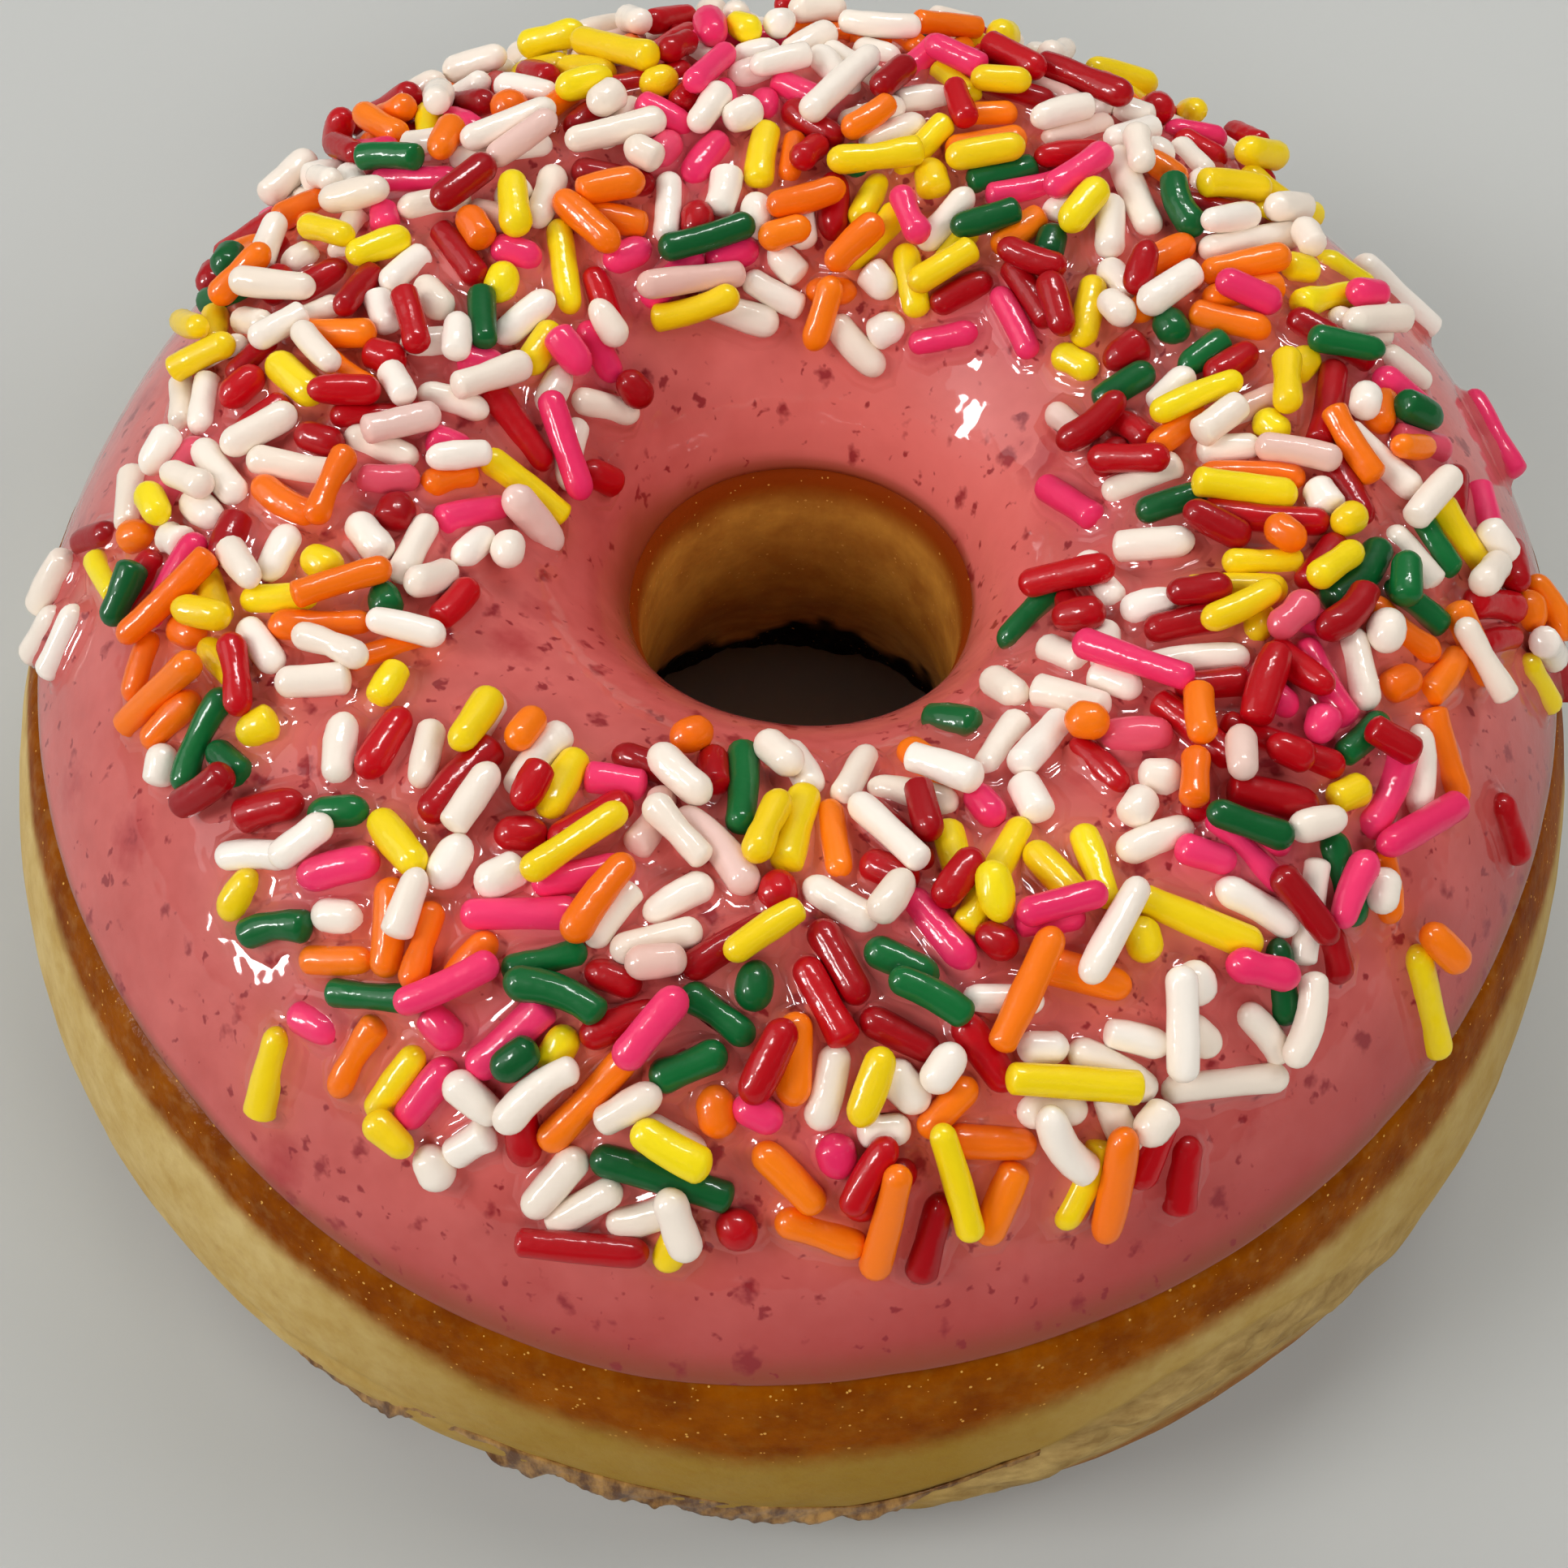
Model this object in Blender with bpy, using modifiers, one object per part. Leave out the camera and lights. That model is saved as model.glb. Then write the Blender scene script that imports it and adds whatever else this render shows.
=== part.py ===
"""Sprinkle frosted doughnut: an uncut raised ring of fried dough, dipped in frosting that has set.

Metres, +Z up.  The origin is on the surface that the doughnut rests on, at the middle of its hole.
Two solids make it: the dough ring, and the cap of frosting that fits over its upper half.
"""
import math

import bmesh
import bpy

MM = 0.001

# Driving dimensions of the whole, frosting included.
OUTER_RADIUS = 46.0 * MM
HEIGHT = 35.0 * MM
HOLE_RADIUS = 9.0 * MM

# Where the section turns: r is the distance from the hole's axis, z the height.
CROWN_R = 27.2 * MM
WAIST_Z = 9.2 * MM
THROAT_Z = 18.3 * MM
FOOT_OUTER_R = 36.4 * MM
FOOT_INNER_R = 16.2 * MM

# How full each rounded quarter of the section is: 2 is an ellipse, more is boxier.
OUTER_TOP_FULLNESS = 1.93
OUTER_FOOT_FULLNESS = 2.13
INNER_TOP_FULLNESS = 2.5
INNER_FOOT_FULLNESS = 1.95

# Frosting: a shell that ends in one rounded lip outside and another inside the hole.
FROSTING_THICKNESS = 1.4 * MM
FROSTING_LIP_RADIUS = 0.55 * MM
FROSTING_GAP = 0.3 * MM
OUTER_LIP_Z = 20.6 * MM
INNER_LIP_Z = 24.3 * MM

# The dough draws in under the frosting: this far below a lip it starts, and here it is complete.
DRAW_IN_START = 10.0 * MM
DRAW_IN_END = 0.8 * MM

# Unevenness, each wave as (lobes, size, direction in degrees).
# The plan waves are shares of the radius; the others are heights.
PLAN_WAVES = ((2, 0.0155, 82.0), (4, 0.003, 20.0))
LIP_WAVES = ((2, 1.15 * MM, 11.0), (3, 1.0 * MM, -49.0))
CROWN_WAVES = ((1, 0.2 * MM, 60.0), (3, 0.15 * MM, 10.0))

# Mesh fineness.
STEPS_AROUND = 72
DOUGH_POINTS = 28
FROSTING_POINTS = 15
STEPS_PER_QUARTER = 60
LIP_SEGMENTS = 2
LIP_CORNER_ANGLE = math.radians(60.0)

DOUGH_COLOUR = (0.42, 0.19, 0.045, 1.0)
FROSTING_COLOUR = (0.60, 0.13, 0.12, 1.0)


def clear_scene():
    for thing in list(bpy.context.scene.objects):
        bpy.data.objects.remove(thing, do_unlink=True)


def make_collection(name):
    collection = bpy.data.collections.new(name)
    bpy.context.scene.collection.children.link(collection)
    return collection


def make_material(name, colour, roughness):
    material = bpy.data.materials.new(name)
    material.use_nodes = True
    shader = material.node_tree.nodes["Principled BSDF"]
    shader.inputs["Base Color"].default_value = colour
    shader.inputs["Roughness"].default_value = roughness
    shader.inputs["Metallic"].default_value = 0.0
    return material


def waves(table, turn):
    """The sum of a table's waves at one angle round the ring."""
    return sum(size * math.cos(lobes * (turn - math.radians(aim))) for lobes, size, aim in table)


def ease(low, high, value):
    """0 below low, 1 above high, and a smooth rise between them."""
    share = min(max((value - low) / (high - low), 0.0), 1.0)
    return share * share * (3.0 - 2.0 * share)


def quarter(centre, reach, fullness):
    """A rounded quarter of the section, from its end level with the centre to its end in line with it."""
    points = []
    for step in range(STEPS_PER_QUARTER + 1):
        angle = 0.5 * math.pi * step / STEPS_PER_QUARTER
        across = max(math.cos(angle), 0.0) ** (2.0 / fullness)
        along = math.sin(angle) ** (2.0 / fullness)
        points.append((centre[0] + reach[0] * across, centre[1] + reach[1] * along))
    return points


def skin_section():
    """The section's whole outline, from the foot round the outside, over the crown and down the hole."""
    foot = (FOOT_OUTER_R, WAIST_Z)
    crown = (CROWN_R, WAIST_Z)
    brim = (CROWN_R, THROAT_Z)
    throat = (FOOT_INNER_R, THROAT_Z)
    outer_foot = quarter(foot, (OUTER_RADIUS - FOOT_OUTER_R, -WAIST_Z), OUTER_FOOT_FULLNESS)
    outer_top = quarter(crown, (OUTER_RADIUS - CROWN_R, HEIGHT - WAIST_Z), OUTER_TOP_FULLNESS)
    inner_top = quarter(brim, (HOLE_RADIUS - CROWN_R, HEIGHT - THROAT_Z), INNER_TOP_FULLNESS)
    inner_foot = quarter(throat, (HOLE_RADIUS - FOOT_INNER_R, -THROAT_Z), INNER_FOOT_FULLNESS)
    return outer_foot[::-1] + outer_top[1:] + inner_top[::-1][1:] + inner_foot[1:]


def outward(outline, index):
    """The direction out of a closed outline at one of its points."""
    before = outline[index - 1]
    after = outline[(index + 1) % len(outline)]
    length = math.dist(before, after)
    return ((after[1] - before[1]) / length, (before[0] - after[0]) / length)


def between(start, end, share):
    return tuple(a + (b - a) * share for a, b in zip(start, end))


def space_evenly(points, count, closed):
    """The same outline with count points, equally far apart along it."""
    path = points + points[:1] if closed else points
    marks = [0.0]
    for start, end in zip(path, path[1:]):
        marks.append(marks[-1] + math.dist(start, end))
    gaps = count if closed else count - 1
    spaced = []
    reached = 0
    for index in range(count):
        target = marks[-1] * index / gaps
        while reached < len(path) - 2 and marks[reached + 1] < target:
            reached += 1
        share = (target - marks[reached]) / (marks[reached + 1] - marks[reached])
        spaced.append(between(path[reached], path[reached + 1], share))
    return spaced


def lip_height(r, turn):
    """How high the frosting's lip is at one angle, on the side of the crown that r is on."""
    if r > CROWN_R:
        return OUTER_LIP_Z + waves(LIP_WAVES, turn)
    return INNER_LIP_Z


def dough_section(skin, turn):
    """The skin, drawn in by the frosting and its gap wherever the frosting covers it."""
    cover = FROSTING_THICKNESS + FROSTING_GAP
    section = []
    for index, (r, z) in enumerate(skin):
        lip = lip_height(r, turn)
        depth = cover * ease(lip - DRAW_IN_START, lip - DRAW_IN_END, z)
        away = outward(skin, index)
        section.append((r - depth * away[0], z - depth * away[1]))
    return space_evenly(section, DOUGH_POINTS, True)


def frosting_section(skin, turn):
    """The part of the skin that is frosted at one angle, from its outer lip to its inner one."""
    frosted = []
    for start, end in zip(skin, skin[1:]):
        low = start[1] - lip_height(start[0], turn)
        high = end[1] - lip_height(end[0], turn)
        if low * high < 0.0:
            frosted.append(between(start, end, low / (low - high)))
        if high >= 0.0:
            frosted.append(end)
    return space_evenly(frosted, FROSTING_POINTS, False)


def on_ring(r, z, turn):
    """A section point set in place at one angle, with the ring's unevenness."""
    radius = r * (1.0 + waves(PLAN_WAVES, turn) * ease(HOLE_RADIUS, CROWN_R, r))
    height = z + waves(CROWN_WAVES, turn) * ease(0.0, HEIGHT, z)
    return (radius * math.cos(turn), radius * math.sin(turn), height)


def loft_ring(name, section_at, closed):
    """A surface through one section at each angle; no two sections are alike."""
    shape = bmesh.new()
    skin = skin_section()
    rings = []
    for step in range(STEPS_AROUND):
        turn = math.tau * step / STEPS_AROUND
        rings.append([shape.verts.new(on_ring(r, z, turn)) for r, z in section_at(skin, turn)])
    for here, there in zip(rings, rings[1:] + rings[:1]):
        last = len(here) if closed else len(here) - 1
        for low in range(last):
            high = (low + 1) % len(here)
            shape.faces.new((here[low], there[low], there[high], here[high]))
    mesh = bpy.data.meshes.new(name)
    shape.to_mesh(mesh)
    shape.free()
    mesh.shade_smooth()
    return bpy.data.objects.new(name, mesh)


def add_dough(collection):
    dough = loft_ring("dough", dough_section, True)
    dough.data.materials.append(make_material("fried_dough", DOUGH_COLOUR, 0.55))
    collection.objects.link(dough)


def add_frosting(collection):
    frosting = loft_ring("frosting", frosting_section, False)
    frosting.data.materials.append(make_material("set_frosting", FROSTING_COLOUR, 0.25))
    collection.objects.link(frosting)
    shell = frosting.modifiers.new("thickness", "SOLIDIFY")
    shell.thickness = FROSTING_THICKNESS
    shell.offset = -1.0
    shell.use_even_offset = True
    lips = frosting.modifiers.new("rounded_lips", "BEVEL")
    lips.width = FROSTING_LIP_RADIUS
    lips.segments = LIP_SEGMENTS
    lips.limit_method = "ANGLE"
    lips.angle_limit = LIP_CORNER_ANGLE


def main():
    clear_scene()
    doughnut = make_collection("doughnut")
    add_dough(doughnut)
    add_frosting(doughnut)


main()
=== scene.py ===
import math

import bpy
import numpy as np
from mathutils import Matrix, Vector, noise
from mathutils.bvhtree import BVHTree
from mathutils.kdtree import KDTree


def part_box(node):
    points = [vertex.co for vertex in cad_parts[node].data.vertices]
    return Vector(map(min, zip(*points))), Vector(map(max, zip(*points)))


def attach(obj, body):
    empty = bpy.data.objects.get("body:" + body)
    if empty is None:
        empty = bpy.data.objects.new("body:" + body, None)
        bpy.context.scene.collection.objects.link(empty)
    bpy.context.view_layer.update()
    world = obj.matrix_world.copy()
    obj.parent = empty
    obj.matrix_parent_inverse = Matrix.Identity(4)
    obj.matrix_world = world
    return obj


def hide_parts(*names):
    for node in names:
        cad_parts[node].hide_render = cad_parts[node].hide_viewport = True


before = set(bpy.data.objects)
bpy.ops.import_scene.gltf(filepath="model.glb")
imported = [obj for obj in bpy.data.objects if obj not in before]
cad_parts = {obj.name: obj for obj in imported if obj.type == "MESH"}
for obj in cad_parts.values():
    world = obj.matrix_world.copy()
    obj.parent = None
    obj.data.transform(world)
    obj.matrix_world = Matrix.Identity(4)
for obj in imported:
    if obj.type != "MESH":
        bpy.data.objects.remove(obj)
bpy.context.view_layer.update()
doughLow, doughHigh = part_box("dough")
frostingLow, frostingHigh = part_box("frosting")
mm = (doughHigh.x - doughLow.x + doughHigh.y - doughLow.y) / 183.75  # one millimetre of the frame
print("frame loaded; the frosting hangs down to", round(frostingLow.z / mm, 1), "mm and its top is at",
      round(frostingHigh.z / mm, 1), "mm")
rng = np.random.default_rng(23)


def cyclic(table, degrees, column):
    # a value that goes by angle, read between the rows of a short table
    return np.interp(degrees, [row[0] for row in table], [row[column] for row in table], period=360)


def hexToLinear(code):
    channels = [int(code[i:i + 2], 16) / 255 for i in (1, 3, 5)]
    return tuple(c / 12.92 if c <= 0.04045 else ((c + 0.055) / 1.055) ** 2.4 for c in channels) + (1.0,)


def fill(tree, node, settings=None, links=None):
    # gives a node its settings and links; a node named as a source stands for its first output
    for name, value in (settings or {}).items():
        if name == "stops":
            ramp = node.color_ramp.elements
            for element, (place, colour) in zip(ramp, value):
                element.position = place
                element.color = colour
        elif isinstance(name, int) or name in node.inputs:
            node.inputs[name].default_value = value
        else:
            setattr(node, name, value)
    for name, source in (links or {}).items():
        if not isinstance(source, bpy.types.NodeSocket):
            source = source.outputs[0]
        tree.links.new(source, node.inputs[name])
    return node


def addNode(tree, kind, settings=None, links=None):
    return fill(tree, tree.nodes.new("ShaderNode" + kind), settings, links)


def newMaterial(name):
    material = bpy.data.materials.new(name)
    material.use_nodes = True
    tree = material.node_tree
    return material, tree, tree.nodes["Principled BSDF"]


def ease(low, high, value):
    share = np.clip((value - low) / (high - low), 0.0, 1.0)
    return share * share * (3.0 - 2.0 * share)


def noiseAt(points, size, shift=0.0, detail=0):
    move = Vector((shift, shift * 0.7, -shift))
    if detail:
        return np.array([noise.fractal(Vector(p) / size + move, 0.8, 2.1, detail) for p in points])
    return np.array([noise.noise(Vector(p) / size + move) for p in points])


def gridFaces(rows, columns):
    # rows and columns both close on themselves, as on a ring
    index = np.arange(rows * columns).reshape(rows, columns)
    right = np.roll(index, -1, 1)
    up = np.roll(index, -1, 0)
    return np.stack([index, right, np.roll(right, -1, 0), up], -1).reshape(-1, 4)


def addPiece(name, points, faces, material):
    mesh = bpy.data.meshes.new(name)
    mesh.from_pydata(np.asarray(points).tolist(), [], [list(map(int, f)) for f in faces])
    mesh.materials.append(material)
    mesh.shade_smooth()
    piece = bpy.data.objects.new(name, mesh)
    bpy.context.scene.collection.objects.link(piece)
    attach(piece, "root")
    return piece


def storeColour(piece, name, values):
    layer = piece.data.color_attributes.new(name=name, type="FLOAT_COLOR", domain="POINT")
    layer.data.foreach_set("color", np.asarray(values, np.float32).ravel())


ring = {
    "outerRadius": 46.0 * mm, "height": 35.0 * mm, "holeRadius": 9.0 * mm,
    "crownRadius": 27.2 * mm, "waistHeight": 9.2 * mm, "throatHeight": 18.3 * mm,
    "footOuter": 36.4 * mm, "footInner": 16.2 * mm,
    "fullness": (2.13, 1.93, 2.5, 1.95),  # outer foot, outer top, inner top, inner foot
    "outerLip": 20.6 * mm, "innerLip": 24.3 * mm, "cover": 1.7 * mm,
    "drawIn": (1.2 * mm, -1.6 * mm),
    "planWaves": ((2, 0.0155, 82.0), (4, 0.003, 20.0)),
    "lipWaves": ((2, 1.15 * mm, 11.0), (3, 1.0 * mm, -49.0)),
    "crownWaves": ((1, 0.2 * mm, 60.0), (3, 0.15 * mm, 10.0)),
    # angle and how far the frosting's edge is drawn up there, in mm
    "lipLift": ((-175, -0.4), (-150, 0.5), (-133, 1.2), (-118, 0.6), (-98, 0.4), (-82, 1.0), (-62, 0.6),
                (-35, 0.4), (-15, 1.0), (10, 0.9), (60, 0.5)),
}


def waves(table, turn):
    return sum(size * np.cos(lobes * (turn - math.radians(aim))) for lobes, size, aim in table)


arcSteps = 60  # the section is four arcs of this many steps, and these are the rows where they end
waistRow, crownRow, throatRow, footRow = arcSteps, 2 * arcSteps, 3 * arcSteps, 4 * arcSteps


def quarterArc(centre, reach, fullness):
    angle = np.linspace(0.0, math.pi / 2, arcSteps + 1)
    across = np.clip(np.cos(angle), 0.0, 1.0) ** (2.0 / fullness)
    along = np.sin(angle) ** (2.0 / fullness)
    return np.stack([centre[0] + reach[0] * across, centre[1] + reach[1] * along], -1)


def skinSection():
    s = ring
    full = s["fullness"]
    outerFoot = quarterArc((s["footOuter"], s["waistHeight"]),
                           (s["outerRadius"] - s["footOuter"], -s["waistHeight"]), full[0])
    outerTop = quarterArc((s["crownRadius"], s["waistHeight"]),
                          (s["outerRadius"] - s["crownRadius"], s["height"] - s["waistHeight"]), full[1])
    innerTop = quarterArc((s["crownRadius"], s["throatHeight"]),
                          (s["holeRadius"] - s["crownRadius"], s["height"] - s["throatHeight"]), full[2])
    innerFoot = quarterArc((s["footInner"], s["throatHeight"]),
                           (s["holeRadius"] - s["footInner"], -s["throatHeight"]), full[3])
    line = np.concatenate([outerFoot[::-1], outerTop[1:], innerTop[::-1][1:], innerFoot[1:]])
    return np.concatenate([line, line[:1]])


skin = skinSection()  # starts at the foot's outer end, runs up the outside and down the hole
skinMarks = np.concatenate([[0.0], np.cumsum(np.hypot(*np.diff(skin, axis=0).T))])
skinSlope = np.gradient(skin, axis=0)
skinOut = np.stack([skinSlope[:, 1], -skinSlope[:, 0]], -1)
skinOut /= np.hypot(skinOut[:, 0], skinOut[:, 1])[:, None]
crownMark = skinMarks[crownRow]


def skinAt(mark):
    # distance from the axis and height, then which way the skin faces
    return [np.interp(mark, skinMarks, column) for column in (*skin.T, *skinOut.T)]


def outerLipMark(turn, below=0.0):
    height = ring["outerLip"] + waves(ring["lipWaves"], turn) - below
    rows = slice(waistRow, crownRow + 1)
    return np.interp(height, skin[rows, 1], skinMarks[rows])


innerTopRows = slice(crownRow, throatRow + 1)
innerLipMark = float(np.interp(-ring["innerLip"], -skin[innerTopRows, 1], skinMarks[innerTopRows]))


def ringPoint(r, z, turn):
    radius = r * (1.0 + waves(ring["planWaves"], turn) * ease(ring["holeRadius"], ring["crownRadius"], r))
    height = z + waves(ring["crownWaves"], turn) * ease(0.0, ring["height"], z)
    return np.stack([radius * np.cos(turn), radius * np.sin(turn), height], -1)


def ringVector(outwards, upwards, turn):
    return np.stack([outwards * np.cos(turn), outwards * np.sin(turn), upwards + 0.0 * turn], -1)


def coordinates(tree):
    return addNode(tree, "TexCoord").outputs["Object"]


def mixColour(tree, factor, first, second):
    settings, links = {"data_type": "RGBA"}, {0: factor}
    for key, value in ((6, first), (7, second)):
        (settings if isinstance(value, tuple) else links)[key] = value
    return addNode(tree, "Mix", settings, links).outputs[2]


def strawberryFrosting():
    # poured icing with crushed strawberry: cloudy pink, a thin wet skin with sharp glints, dark fruit flecks
    look = {
        "pale": "#d76963", "deep": "#c65852", "cloudSize": 4.5,
        # cell in mm, largest radius and share of the cells that hold one, sharpness, tint, strength
        "flecks": (
            (5.0, 0.36, 0.9, 1.4, "#a00a1c", 0.6), (2.1, 0.34, 0.95, 2.2, "#86041a", 0.8),
            (1.0, 0.32, 0.9, 2.6, "#86061a", 0.8)),
        "smearSize": 0.8, "smear": 1.5, "drawnOut": (1.0, 1.0, 0.55),
    }
    material, tree, shader = newMaterial("set_strawberry_frosting")
    place = coordinates(tree)
    cloud = addNode(tree, "TexNoise", {"Scale": 1 / (look["cloudSize"] * mm), "Detail": 3.0,
                    "Roughness": 0.62}, {"Vector": place})
    base = addNode(tree, "ValToRGB", {"stops": [(0.3, hexToLinear(look["deep"])),
                   (0.68, hexToLinear(look["pale"]))]}, {"Fac": cloud}).outputs["Color"]
    # this colour layer holds the strands' dye stains together with painted shade and painted light
    dyeAndShading = addNode(tree, "VertexColor", {"layer_name": "dyeAndShading"})
    colour = mixColour(tree, dyeAndShading.outputs["Alpha"], base, dyeAndShading.outputs["Color"])
    warp = addNode(tree, "TexNoise", {"Scale": 1 / (look["smearSize"] * mm), "Detail": 2.0},
                   {"Vector": place})
    away = addNode(tree, "VectorMath", {"operation": "SUBTRACT", 1: (0.5, 0.5, 0.5)},
                   {0: warp.outputs["Color"]})
    push = addNode(tree, "VectorMath", {"operation": "SCALE", "Scale": look["smear"] * mm}, {0: away})
    moved = addNode(tree, "VectorMath", {"operation": "ADD"}, {0: place, 1: push})
    moved = addNode(tree, "VectorMath", {"operation": "MULTIPLY", 1: look["drawnOut"]}, {0: moved})
    for cell, reach, share, sharpness, fruit, strength in look["flecks"]:
        cells = addNode(tree, "TexVoronoi", {"Scale": 1 / (cell * mm)}, {"Vector": moved})
        luck = addNode(tree, "SeparateColor", links={"Color": cells.outputs["Color"]})
        chosen = addNode(tree, "Math", {"operation": "LESS_THAN", 1: share}, {0: luck.outputs["Red"]})
        size = addNode(tree, "Math", {"operation": "MULTIPLY_ADD", 1: 0.7 * reach, 2: 0.3 * reach},
                       {0: luck.outputs["Green"]})
        inside = addNode(tree, "Math", {"operation": "SUBTRACT"}, {0: size, 1: cells})
        edge = addNode(tree, "Math", {"operation": "MULTIPLY", 1: sharpness / reach, "use_clamp": True},
                       {0: inside})
        mask = addNode(tree, "Math", {"operation": "MULTIPLY"}, {0: edge, 1: chosen})
        soft = addNode(tree, "Math", {"operation": "MULTIPLY", 1: strength}, {0: mask})
        colour = mixColour(tree, soft, colour, hexToLinear(fruit))
    swell = addNode(tree, "TexNoise", {"Scale": 1 / (1.6 * mm), "Detail": 4.0, "Roughness": 0.6},
                    {"Vector": place})
    bump = addNode(tree, "Bump", {"Strength": 0.3, "Distance": 0.16 * mm}, {"Height": swell})
    skinWaves = addNode(tree, "TexNoise", {"Scale": 1 / (1.5 * mm), "Detail": 1.0}, {"Vector": place})
    skinBump = addNode(tree, "Bump", {"Strength": 0.6, "Distance": 0.1 * mm}, {"Height": skinWaves})
    fill(tree, shader,
         {"Roughness": 0.45, "Specular IOR Level": 0.1, "Coat Weight": 0.9, "Coat IOR": 1.42,
          "Coat Roughness": 0.045},
         {"Base Color": colour, "Normal": bump, "Coat Normal": skinBump})
    return material


def friedDough():
    # yeast dough fried in oil: a brown crust, a pale belt that stayed above the oil, torn crumb below it
    look = {
        "crust": "#944d00", "crustDark": "#743300", "belt": "#d4b97a", "beltShade": "#c19f5a",
        "golden": "#977220", "wall": "#d4983c", "wallDark": "#b07028", "crumb": "#b99b60",
        "crumbDark": "#8f7142", "paintedGlint": "#d8a24c", "paintedLipShade": "#8a360a", "foot": "#120802",
        "lowWallPaintedLight": "#e2b46c", "lowWallPaintedLightDark": "#b88c50",
    }
    material, tree, shader = newMaterial("fried_yeast_dough")
    place = coordinates(tree)
    zones = addNode(tree, "VertexColor", {"layer_name": "zones"})
    split = addNode(tree, "SeparateColor", links={"Color": zones.outputs["Color"]})
    patch = addNode(tree, "TexNoise", {"Scale": 1 / (3.5 * mm), "Detail": 4.0, "Roughness": 0.62},
                    {"Vector": place})
    fine = addNode(tree, "TexNoise", {"Scale": 1 / (0.8 * mm), "Detail": 3.0}, {"Vector": place})

    def mottled(dark, light, source=patch):
        return addNode(tree, "ValToRGB", {"stops": [(0.33, hexToLinear(look[dark])),
                       (0.66, hexToLinear(look[light]))]}, {"Fac": source}).outputs["Color"]

    belt = mixColour(tree, zones.outputs["Alpha"], mottled("beltShade", "belt"), hexToLinear(look["golden"]))
    wander = addNode(tree, "Math", {"operation": "MULTIPLY_ADD", 1: 0.5, 2: -0.25}, {0: fine})
    browned = addNode(tree, "Math", {"operation": "ADD", "use_clamp": True},
                      {0: split.outputs["Red"], 1: wander})
    colour = mixColour(tree, browned, belt, mottled("crustDark", "crust"))
    colour = mixColour(tree, split.outputs["Blue"], colour, mottled("wallDark", "wall"))
    flatter = addNode(tree, "VectorMath", {"operation": "MULTIPLY", 1: (1.0, 1.0, 3.2)}, {0: place})
    sheets = addNode(tree, "TexNoise", {"Scale": 1 / (2.2 * mm), "Detail": 4.0, "Roughness": 0.6},
                     {"Vector": flatter})
    colour = mixColour(tree, split.outputs["Green"], colour, mottled("crumbDark", "crumb", sheets))
    hole = addNode(tree, "VertexColor", {"layer_name": "hole"})
    holeSplit = addNode(tree, "SeparateColor", links={"Color": hole.outputs["Color"]})
    # paler crumb low in the hole's wall: partly its own colour, partly painted light
    colour = mixColour(tree, holeSplit.outputs["Blue"], colour, mottled("lowWallPaintedLightDark", "lowWallPaintedLight", sheets))
    # painted shade with painted pink bounce light just under the icing's lip in the hole
    colour = mixColour(tree, holeSplit.outputs["Green"], colour, hexToLinear(look["paintedLipShade"]))
    # painted shadow: near black at the foot of the hole's wall
    colour = mixColour(tree, holeSplit.outputs["Red"], colour, hexToLinear(look["foot"]))
    # painted highlights: tiny bright dots on the browned parts that stand for oil beads catching the light
    beads = addNode(tree, "TexVoronoi", {"Scale": 1 / (0.38 * mm)}, {"Vector": place})
    luck = addNode(tree, "SeparateColor", links={"Color": beads.outputs["Color"]})
    small = addNode(tree, "Math", {"operation": "MULTIPLY_ADD", 1: 0.5, 2: -0.27},
                    {0: luck.outputs["Green"]})
    dot = addNode(tree, "Math", {"operation": "LESS_THAN"}, {0: beads, 1: small})
    glintDots = addNode(tree, "Math", {"operation": "MULTIPLY"}, {0: dot, 1: split.outputs["Red"]})
    colour = mixColour(tree, glintDots, colour, hexToLinear(look["paintedGlint"]))
    pebble = addNode(tree, "TexNoise", {"Scale": 1 / (0.5 * mm), "Detail": 3.0, "Roughness": 0.6},
                     {"Vector": place})
    bump = addNode(tree, "Bump", {"Strength": 0.45, "Distance": 0.14 * mm}, {"Height": pebble})
    fill(tree, shader,
         {"Roughness": 0.55, "Specular IOR Level": 0.02, "Coat Weight": 0.06, "Coat IOR": 1.4,
          "Coat Roughness": 0.15},
         {"Base Color": colour, "Normal": bump, "Coat Normal": bump})
    return material


def wetCrumb():
    # torn crumb soaked with oil: thin brown shreds with a wet shine
    look = {"light": "#b98a4a", "dark": "#5e3816"}
    material, tree, shader = newMaterial("oil_soaked_crumb")
    place = coordinates(tree)
    hung = addNode(tree, "VectorMath", {"operation": "MULTIPLY", 1: (1.0, 1.0, 0.35)}, {0: place})
    streak = addNode(tree, "TexNoise", {"Scale": 1 / (0.9 * mm), "Detail": 4.0, "Roughness": 0.65},
                     {"Vector": hung})
    colour = addNode(tree, "ValToRGB", {"stops": [(0.36, hexToLinear(look["dark"])),
                     (0.66, hexToLinear(look["light"]))]}, {"Fac": streak}).outputs["Color"]
    bump = addNode(tree, "Bump", {"Strength": 0.5, "Distance": 0.2 * mm}, {"Height": streak})
    fill(tree, shader,
         {"Roughness": 0.45, "Specular IOR Level": 0.1, "Coat Weight": 0.3, "Coat Roughness": 0.1},
         {"Base Color": colour, "Normal": bump, "Coat Normal": bump})
    return material


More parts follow.
